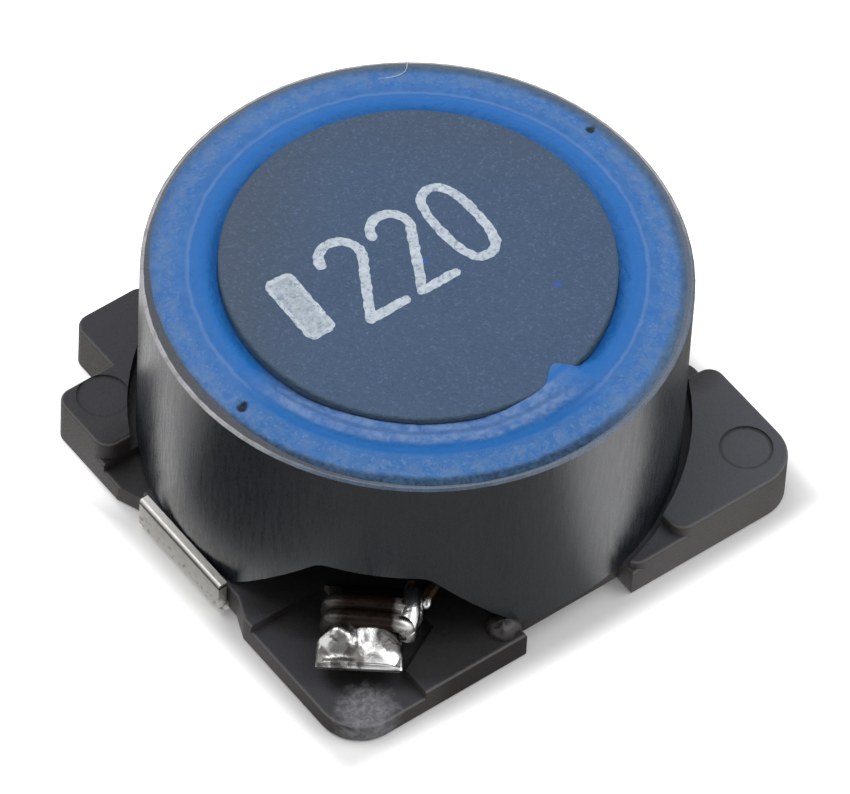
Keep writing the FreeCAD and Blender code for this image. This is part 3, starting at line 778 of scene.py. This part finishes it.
def smear(degrees):
    """How far the adhesive has run up the disc's side at a bearing, from 0 to 1."""
    angle = angle_apart(degrees, 0)
    return ramp(angle, *SMEAR_RISE) * (1 - ramp(angle, *SMEAR_FALL))


def smear_reach(degrees):
    """How far in over the disc the run-over lies."""
    angle = angle_apart(degrees, 0)
    lump = 0.37 * math.exp(-abs((angle + 80.5) / (5.5 if angle < -80.5 else 3.0)) ** 2.4)
    return lump + 0.015 + 0.02 * wave(8, angle * 0.35)


def bead_level(radius, degrees):
    """Height of the adhesive's top."""
    x, y, _ = polar(radius, degrees, 0)
    edge = bead_edge(degrees)
    near, over = near_side(degrees), smear(degrees)
    contact = BEAD_CONTACT + 0.12 * near
    contact += (CORE_TOP + 0.015 - contact) * over
    crest = BEAD_CREST + 0.08 * over
    level = contact + (crest - contact) * ramp(radius, DISC_RADIUS, 4.72)
    level -= (crest - BEAD_TROUGH) * ramp(radius, 4.74, 5.02)
    level -= 0.03 * near * bump(radius, 5.04, 0.09)
    level -= (BEAD_TROUGH - RING_TOP - 0.02) * ramp(radius, 5.02, 5.78) ** 1.2
    loose = 1 - ramp(radius, 5.6, 5.8)
    level += (0.012 * wave(5, x * 1.3, y * 1.3) + 0.008 * wave(6, x * 5, y * 5)) * loose
    level -= 0.018 * ramp(radius, edge - 0.1, edge)
    for hole_x, hole_y, half in PINHOLES:
        away = math.hypot(x - hole_x, y - hole_y)
        level -= 0.10 * bump(away, 0, half * 0.6)
        level += 0.02 * bump(away, half * 1.3, half * 0.4)
    return max(level, RING_TOP + 0.005)


def adhesive_bead():
    sections = []
    wall = DISC_RADIUS - 0.005
    wall_top = BEAD_CONTACT - 0.02
    for turn in range(BEAD_COUNT):
        degrees = turn * 360 / BEAD_COUNT
        edge = bead_edge(degrees)
        over = smear(degrees)
        inner = wall - smear_reach(degrees) * over
        under = wall_top + (CORE_TOP - 0.01 - wall_top) * over
        section = [polar(wall, degrees, BEAD_FLOOR), polar(wall, degrees, under)]
        section.append(polar(inner, degrees, under + 0.007))
        for step in range(1, BEAD_STEPS + 1):
            radius = inner + (edge - inner) * (step / BEAD_STEPS)
            section.append(polar(radius, degrees, bead_level(radius, degrees)))
        section.append(polar(edge + 0.02, degrees, RING_TOP - 0.01))
        section.append(polar(RING_BORE + 0.2, degrees, RING_TOP - 0.01))
        section.append(polar(RING_BORE, degrees, RING_TOP - 0.2))
        section.append(polar(RING_BORE, degrees, BEAD_FLOOR))
        sections.append(section)
    points, faces = lathe(sections)
    piece = named_mesh("blue_bead", points, faces, ADHESIVE)
    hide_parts("adhesive_bead")


adhesive_bead()


# Winding

COIL_RADIUS = 4.0
COIL_LOW = 1.88
COIL_HIGH = 5.11
COIL_TURNS = 7
COIL_INNER = 2.15
WIRE_SIDES = 16

# The hook's neck: half its width, how far it lies to one side, its start and its length
NECK_HALF = 0.58
NECK_SHIFT = -0.17
NECK_START = 0.75
NECK_LENGTH = 1.25


def coil():
    """The wound coil: rounded turns one above the other between the flanges."""
    pitch = (COIL_HIGH - COIL_LOW) / COIL_TURNS
    count, rows = 144, 12
    outline = [(COIL_INNER, COIL_LOW)]
    for turn in range(COIL_TURNS):
        for row in range(rows):
            share = (row + 0.5) / rows
            bulge = math.sqrt(max(0.0, 1 - (2 * share - 1) ** 2))
            outline.append((COIL_RADIUS - WIRE_RADIUS * (1 - bulge), COIL_LOW + (turn + share) * pitch))
    outline.append((COIL_INNER, COIL_HIGH))
    sections = [[polar(r, turn * 360 / count, z) for r, z in outline] for turn in range(count)]
    points, faces = lathe(sections)
    return named_mesh("coil_turns", points, faces, COPPER)


def hook_point(along, across, level):
    """A place beside the front hook: along it from its outer edge, and across it."""
    angle = math.radians(HOOK_BEARING)
    x = HOOK_END[0] + along * math.cos(angle) - across * math.sin(angle)
    y = HOOK_END[1] + along * math.sin(angle) + across * math.cos(angle)
    return (x, y, level)


def wire_line(points, steps=8):
    """A smooth line through the points, in millimetres."""
    line = []
    padded = [points[0]] + list(points) + [points[-1]]
    for before, start, end, after in zip(padded, padded[1:], padded[2:], padded[3:]):
        for step in range(steps):
            t = step / steps
            line.append(tuple(
                0.5 * (2 * b + (c - a) * t + (2 * a - 5 * b + 4 * c - d) * t * t
                       + (3 * b - a - 3 * c + d) * t ** 3)
                for a, b, c, d in zip(before, start, end, after)))
    return line + [tuple(points[-1])]


def wire(name, line, material, radius=WIRE_RADIUS, taper=0.0):
    """Round wire along a line, closed at its ends. With a taper its ends are thinner."""
    sections = []
    line = [Vector(point) for point in line]
    side = Vector((0, 0, 1))
    for index, place in enumerate(line):
        ahead = (line[min(index + 1, len(line) - 1)] - line[max(index - 1, 0)]).normalized()
        side = (side - ahead * side.dot(ahead)).normalized()
        other = ahead.cross(side)
        swell = 1 + 0.04 * wave(9, *(place * 3)) - taper * abs(2 * index / (len(line) - 1) - 1) ** 3
        section = []
        for turn in range(WIRE_SIDES):
            angle = 2 * math.pi * turn / WIRE_SIDES
            outward = side * math.cos(angle) + other * math.sin(angle)
            section.append(tuple(place + outward * radius * swell))
        sections.append(section)
    points, faces = tube(sections)
    return named_mesh(name, points, faces, material)


def lead_places():
    """The lead's way: off the coil, over the lower flange, and twice round the hook's neck."""
    reach = WIRE_RADIUS + 0.05
    left, right = NECK_HALF + NECK_SHIFT + reach, -NECK_HALF + NECK_SHIFT - reach
    loose = right - 0.16
    over, under = HOOK_LEVEL + SHEET + reach, HOOK_LEVEL - reach
    first = NECK_START + NECK_LENGTH - reach
    step = 0.11
    off_coil = [polar(COIL_RADIUS - 0.15, 272, 2.2), polar(COIL_RADIUS, 256, 2.12),
                polar(DISC_RADIUS + 0.28, 246, 2.02)]
    beside = [hook_point(first, loose - 0.2, under + 0.65)]
    turns = [(loose, under + 0.1), (loose + 0.2, under), (left - 0.2, under), (left, under + 0.2),
             (left, over - 0.2), (left - 0.2, over), (loose + 0.2, over), (loose, over - 0.2),
             (right, under + 0.2), (right + 0.2, under), (left - 0.2, under), (left, under + 0.2),
             (left, over - 0.2), (left - 0.2, over), (right + 0.2, over), (right, over - 0.2),
             (right, (over + under) / 2)]
    wraps = [hook_point(first - quarter * step / 2, across, level)
             for quarter, (across, level) in enumerate(turns)]
    return off_coil + beside + wraps


# Solder drawn along the wraps' bends, in the hook's own directions
BEND_SOLDER = ((0.78, -0.93, 1.14), (1.00, -1.00, 1.30), (1.36, -1.07, 1.45),
               (1.70, -1.10, 1.56), (2.00, -1.12, 1.64))

# A drip of solder along the lead where it comes to the hook
LEAD_SOLDER = ((1.46, -1.40, 1.38), (1.66, -1.43, 1.47), (1.88, -1.49, 1.58))


def winding():
    pieces = [coil()]
    line = wire_line(lead_places())
    split = len(line) // 5
    enamelled, covered = line[:split + 1], line[split:]
    for (side, turn), finish in zip(SIDES, (WRAP_FRONT, WRAP_BACK)):
        pieces.append(wire(f"lead_{side}", [turn(place) for place in enamelled], LEAD))
        pieces.append(wire(f"wraps_{side}", [turn(place) for place in covered], finish))
        tinned = wire_line([turn(hook_point(*place)) for place in BEND_SOLDER])
        pieces.append(wire(f"tinned_bends_{side}", tinned, SOLDER, radius=0.24, taper=0.5))
        drip = wire_line([turn(hook_point(*place)) for place in LEAD_SOLDER])
        pieces.append(wire(f"tinned_lead_{side}", drip, SOLDER, radius=0.11, taper=0.8))
    for piece in pieces:
        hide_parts("winding")


winding()


# Print on the disc

PRINT_LEVEL = CORE_TOP + 0.004
INK_CELL = 0.035
STROKE = 0.23

# The digits' foot and head, and where each one begins and ends across the print
DIGIT_FOOT = -0.8
DIGIT_HEAD = 1.65
TWO_SPANS = ((-1.92, -0.72), (-0.52, 0.62))
ZERO_SPAN = (0.82, 1.98)

# The bar
BAR_MIDDLE = (-2.84, 0.49)
BAR_HALF = (0.365, 0.94)
BAR_CORNER = 0.20
BAR_LEAN = 0.03
BAR_EDGE = 0.10


def oval(x_low, x_high, y_low, y_high, start, stop, squareness=2.6):
    """Part of a rounded box's outline, from one angle to another."""
    centre = Vector(((x_low + x_high) / 2, (y_low + y_high) / 2))
    half_x, half_y = (x_high - x_low) / 2, (y_high - y_low) / 2
    steps = max(int(abs(stop - start) / 8), 2)
    line = []
    for step in range(steps + 1):
        angle = math.radians(start + (stop - start) * step / steps)
        c, s = math.cos(angle), math.sin(angle)
        line.append(centre + Vector((half_x * math.copysign(abs(c) ** (2 / squareness), c),
                                     half_y * math.copysign(abs(s) ** (2 / squareness), s))))
    return line


def segment_gap(place, start, end):
    """Distance from a place to a straight run."""
    run = end - start
    share = min(max((place - start).dot(run) / run.length_squared, 0.0), 1.0)
    return (place - start - run * share).length


def stroke_depth(line):
    """How deep inside the ink of a stroke a place lies."""
    runs = list(zip(line, line[1:]))

    def depth(place):
        return STROKE / 2 - min(segment_gap(place, start, end) for start, end in runs)
    return depth


def bar_depth(place):
    """How deep inside the bar a place lies. The bar leans a little and has round corners."""
    y = place.y - BAR_MIDDLE[1]
    x = place.x - BAR_MIDDLE[0] - BAR_LEAN * y
    past_x, past_y = abs(x) - BAR_HALF[0] + BAR_CORNER, abs(y) - BAR_HALF[1] + BAR_CORNER
    outside = math.hypot(max(past_x, 0.0), max(past_y, 0.0))
    return BAR_CORNER - outside - min(max(past_x, past_y), 0.0)


def ink(name, depth, low, high, finish=None, level=PRINT_LEVEL):
    """A thin layer of ink where the depth is above nothing, with slightly rough edges."""
    points, faces = [], []
    columns = int((high[0] - low[0]) / INK_CELL) + 1
    rows = int((high[1] - low[1]) / INK_CELL) + 1
    field = {}
    for column in range(columns + 1):
        for row in range(rows + 1):
            place = Vector((low[0] + column * INK_CELL, low[1] + row * INK_CELL))
            rough = 0.030 * wave(12, place.x * 7, place.y * 7)
            rough += 0.012 * wave(13, place.x * 21, place.y * 21)
            field[column, row] = (place, depth(place) + rough)
    for column in range(columns):
        for row in range(rows):
            corners = [field[column, row], field[column + 1, row], field[column + 1, row + 1],
                       field[column, row + 1]]
            add_ink_cell(corners, points, faces, level)
    return named_mesh(name, points, faces, finish or INK, smooth=False)


def add_ink_cell(corners, points, faces, level):
    """The inked part of one small square, with its side faces."""
    shape = []
    for (place, depth), (after, depth_after) in zip(corners, corners[1:] + corners[:1]):
        if depth > 0:
            shape.append((place, False))
        if (depth > 0) != (depth_after > 0):
            share = depth / (depth - depth_after)
            shape.append((place.lerp(after, share), depth > 0))
    if len(shape) < 3:
        return
    first, count = len(points), len(shape)
    points.extend((place.x, place.y, level) for place, _ in shape)
    points.extend((place.x, place.y, CORE_TOP - 0.01) for place, _ in shape)
    faces.append(tuple(range(first, first + count)))
    faces.append(tuple(range(first + 2 * count - 1, first + count - 1, -1)))
    for index, (_, leaves) in enumerate(shape):
        if leaves:
            after = (index + 1) % count
            faces.append((first + index, first + index + count, first + after + count, first + after))


def digit_two(x_low, x_high, y_low, y_high):
    head = oval(x_low, x_high, y_high - (x_high - x_low), y_high, 170, -20, 2.0)
    return head + [Vector((x_low, y_low)), Vector((x_high, y_low))]


def digit_zero(x_low, x_high, y_low, y_high):
    return oval(x_low, x_high, y_low, y_high, 0, 360)


def digit(name, shape, span):
    """One printed digit, as wide as its span."""
    half, room = STROKE / 2, 0.1
    line = shape(span[0] + half, span[1] - half, DIGIT_FOOT + half, DIGIT_HEAD - half)
    low = (span[0] - room, DIGIT_FOOT - room)
    high = (span[1] + room, DIGIT_HEAD + room)
    ink(name, stroke_depth(line), low, high)


def printing():
    for index, span in enumerate(TWO_SPANS):
        digit(f"print_two_{index}", digit_two, span)
    digit("print_zero", digit_zero, ZERO_SPAN)
    low, high = (-3.4, -0.6), (-2.3, 1.6)
    ink("print_bar_middle", bar_depth, low, high, THIN_INK, PRINT_LEVEL - 0.002)
    ink("print_bar_edge", lambda place: min(bar_depth(place), BAR_EDGE - bar_depth(place)), low, high)


printing()


# Solder

SOLDER_ROWS = 60
SOLDER_SIDE = 36
SOLDER_LENGTH = 1.32
SOLDER_MIDDLE = 1.11


def solder_width(along):
    """Half the solder's width, and how far its middle lies to one side."""
    narrow = ramp(along, 0.55, 0.95)
    return 0.95 - 0.22 * narrow, -0.10 * narrow


def solder_height(along, across):
    """How high the solder stands over the middle of the sheet."""
    left = ramp(across, 0.0, 0.24)
    gentle = 0.22 * min(max(along, 0.0) / 0.80, 1.0) - 0.16 * ramp(along, 0.80, 1.25)
    steep = 0.34 * ramp(along, 0.10, 0.62) - 0.10 * ramp(along, 0.85, 1.25)
    body = 0.15 + (1 - left) * gentle + left * steep
    body += (1 - left) * 0.05 * bump(across, -0.35, 0.30) * ramp(along, 0.0, 0.3)
    body -= 0.10 * bump(across, 0.12, 0.07) * ramp(along, 0.30, 0.55)
    body += 0.10 * bump(along, 0.70, 0.13) * bump(across, 0.55, 0.18)
    body += left * (0.040 * wave(31, along * 3.0, across * 3.0) + 0.010 * wave(32, along * 8, across * 8))
    return body


def solder(side, turn):
    """Solder all round the hook's end, highest on one side, with a lumpy dull patch on the other."""
    sections = []
    for row in range(SOLDER_ROWS + 1):
        along = -0.035 + SOLDER_LENGTH * (row / SOLDER_ROWS) ** 1.3
        half, shift = solder_width(along)
        rounding = 0.80 + 0.20 * ramp(along, -0.035, 0.03)
        closing = 0.35 + 0.65 * ramp(along, -0.035, 0.02)
        section = []
        for step in range(SOLDER_SIDE):
            angle = math.pi * step / SOLDER_SIDE
            share = math.cos(angle)
            across = half * share * (0.97 + 0.03 * rounding) + shift
            height = solder_height(along, across) * (1 - abs(share) ** 3.5) ** 0.5
            section.append(turn(hook_point(along, across, SOLDER_MIDDLE + height * closing)))
        for step in range(SOLDER_SIDE):
            share = -math.cos(math.pi * step / SOLDER_SIDE)
            across = half * share * (0.97 + 0.03 * rounding) + shift
            depth = 0.125 * (1 - abs(share) ** 8) ** 0.5
            section.append(turn(hook_point(along, across, SOLDER_MIDDLE - depth * closing)))
        sections.append(section)
    points, faces = tube(sections)
    piece = named_mesh(f"solder_mound_{side}", points, faces, SOLDER)
    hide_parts("solder_left" if side == "front" else "solder_right")


for side, turn in SIDES:
    solder(side, turn)


# Clear adhesive dabs

DAB_RADIUS = 0.38
DAB_HEIGHT = 0.28
DAB_BEARING = 253.0


def dabs():
    x, y, level = polar(RING_RADIUS, DAB_BEARING, SEAT_TOP)
    count, rows = 40, 12
    for side, turn in SIDES:
        sections = []
        for row in range(rows + 1):
            tilt = math.pi * row / rows
            section = []
            for step in range(count):
                angle = 2 * math.pi * step / count
                lobe = 1 + 0.14 * wave(41, math.cos(angle), math.sin(angle), tilt)
                out_x, out_y, _ = polar(DAB_RADIUS * math.sin(tilt) * lobe, math.degrees(angle), 0)
                section.append(turn((x + out_x, y + out_y, level + DAB_HEIGHT * math.cos(tilt) * lobe)))
            sections.append(section)
        points, faces = tube(sections, capped=False)
        piece = named_mesh(f"clear_dab_{side}", points, faces, CLEAR)
        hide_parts("ring_adhesive")


dabs()


# A light fibre stuck on the rim

FIBRE = ((3.43, 4.98, 5.93), (3.32, 4.84, 5.96), (3.17, 4.72, 5.99), (2.97, 4.71, 5.99),
         (2.78, 4.78, 5.985), (2.57, 4.90, 5.975))

wire("rim_fibre", wire_line(FIBRE), INK, radius=0.010)


# Floor, light and camera

FLOOR_HALF = 400.0

# Pools of glow painted on the floor, seen only by glossy rays as painted reflections on the part:
# bearing, half width, blur and brightness
PAINTED_FLOOR_GLOW = ((-110.0, 40.0, 30.0, 0.16), (128.0, 28.0, 14.0, 0.95), (-62.0, 9.0, 13.0, 0.88),
              (-40.0, 42.0, 20.0, 0.19))

# The room in front of the table is darker than the white sweep behind it
ROOM_SIDE = (-0.399, -0.483, 0.779)


def floor():
    """A white floor, white again for the camera past the shadow close to the part.

    Glossy surfaces see a glow painted on it in pools, bright behind and to the sides and dark in front,
    as painted reflections on the part. On one side it is painted white for the camera right up to the
    base, over the shadow there.
    """
    f = Finish("white_floor", Roughness=0.9, Specular_IOR_Level=0.0, Emission_Strength=1.0)
    path = f.node("LightPath").outputs
    x, y, _ = f.parts(f.millimetres())
    past = [f.math("MAXIMUM", f.minus(f.math("ABSOLUTE", part), BASE_HALF), 0.0) for part in (x, y)]
    beside = f.distance(*past)
    bright = 0.05
    # Pools of glow painted on the floor, which only glossy rays see: painted reflections on the part
    for bearing, half_width, blur, level in PAINTED_FLOOR_GLOW:
        bright = f.plus(bright, f.times(f.sector(bearing, half_width, blur), level))
    close = f.times(f.stretch(beside, 0.6, 1.2, 1.0, 0.0), f.sector(180.0, 30.0, 12.0))
    bright = f.plus(bright, f.times(close, 0.75))
    glossy = path["Is Glossy Ray"]
    # Painted white for the camera right up to the base on this side, over the shadow that falls there
    clear = f.times(f.sector(124.0, 28.0, 16.0), f.stretch(beside, 0.0, 0.12, 0.5, 1.0))
    clear = f.math("MAXIMUM", clear, f.stretch(beside, 0.05, 1.05, 0.02, 0.8))
    white = f.times(path["Is Camera Ray"], clear)
    f.set("Base Color", f.mix(glossy, (0.95, 0.95, 0.95), (0.0, 0.0, 0.0)))
    f.set("Emission Color", f.plus(white, f.times(glossy, bright)))
    mesh = bpy.data.meshes.new("floor")
    half = FLOOR_HALF * MM
    corners = [(-half, -half, 0), (half, -half, 0), (half, half, 0), (-half, half, 0)]
    mesh.from_pydata(corners, [], [(0, 1, 2, 3)])
    mesh.materials.append(f.material)
    piece = bpy.data.objects.new("floor", mesh)
    bpy.context.scene.collection.objects.link(piece)


def world():
    """White for the camera and for glossy surfaces, and a softer light on everything else."""
    made = bpy.data.worlds.new("studio")
    made.use_nodes = True
    tree = made.node_tree
    shade = tree.nodes["Background"]
    w = Wiring(tree)
    path = w.node("LightPath").outputs
    seen = w.math("MAXIMUM", path["Is Camera Ray"], path["Is Glossy Ray"])
    seen = w.math("MAXIMUM", seen, path["Is Transmission Ray"])
    shade.inputs["Strength"].default_value = 1.0
    way = tree.nodes.new("ShaderNodeVectorMath")
    way.operation = "DOT_PRODUCT"
    w.join(w.node("TexCoord").outputs["Generated"], way.inputs[0])
    way.inputs[1].default_value = ROOM_SIDE
    room = w.stretch(way.outputs["Value"], 0.75, 0.97, 0.95, 0.15)
    bright = w.math("MAXIMUM", path["Is Camera Ray"], room)
    light = w.plus(w.times(seen, bright), w.times(w.minus(1.0, seen), 0.58))
    w.join(light, shade.inputs["Color"])
    bpy.context.scene.world = made


def lamp(name, bearing, elevation, distance, size, power):
    """A square lamp that looks at the object."""
    data = bpy.data.lights.new(name, "AREA")
    data.size = size * MM
    data.energy = power
    piece = bpy.data.objects.new(name, data)
    angle, tilt = math.radians(bearing), math.radians(elevation)
    way = Vector((math.cos(angle) * math.cos(tilt), math.sin(angle) * math.cos(tilt), math.sin(tilt)))
    piece.location = way * distance * MM
    piece.rotation_euler = way.to_track_quat("Z", "Y").to_euler()
    bpy.context.scene.collection.objects.link(piece)


def camera():
    data = bpy.data.cameras.new("camera")
    data.lens = CAMERA_LENS
    data.sensor_width = CAMERA_SENSOR
    data.clip_start = 0.01
    data.clip_end = 10
    piece = bpy.data.objects.new("camera", data)
    right, up = Vector(CAMERA_RIGHT).normalized(), Vector(CAMERA_UP)
    back = right.cross(up).normalized()
    up = back.cross(right)
    turn = Matrix((right, up, back)).transposed().to_4x4()
    piece.matrix_world = Matrix.Translation(Vector(CAMERA_EYE) * MM) @ turn
    bpy.context.scene.collection.objects.link(piece)
    bpy.context.scene.camera = piece


floor()
world()
lamp("key", bearing=106.0, elevation=62.0, distance=400.0, size=300.0, power=0.52)
lamp("fill", bearing=-37.0, elevation=50.0, distance=400.0, size=300.0, power=0.42)
camera()
bpy.context.scene.view_settings.view_transform = "Standard"
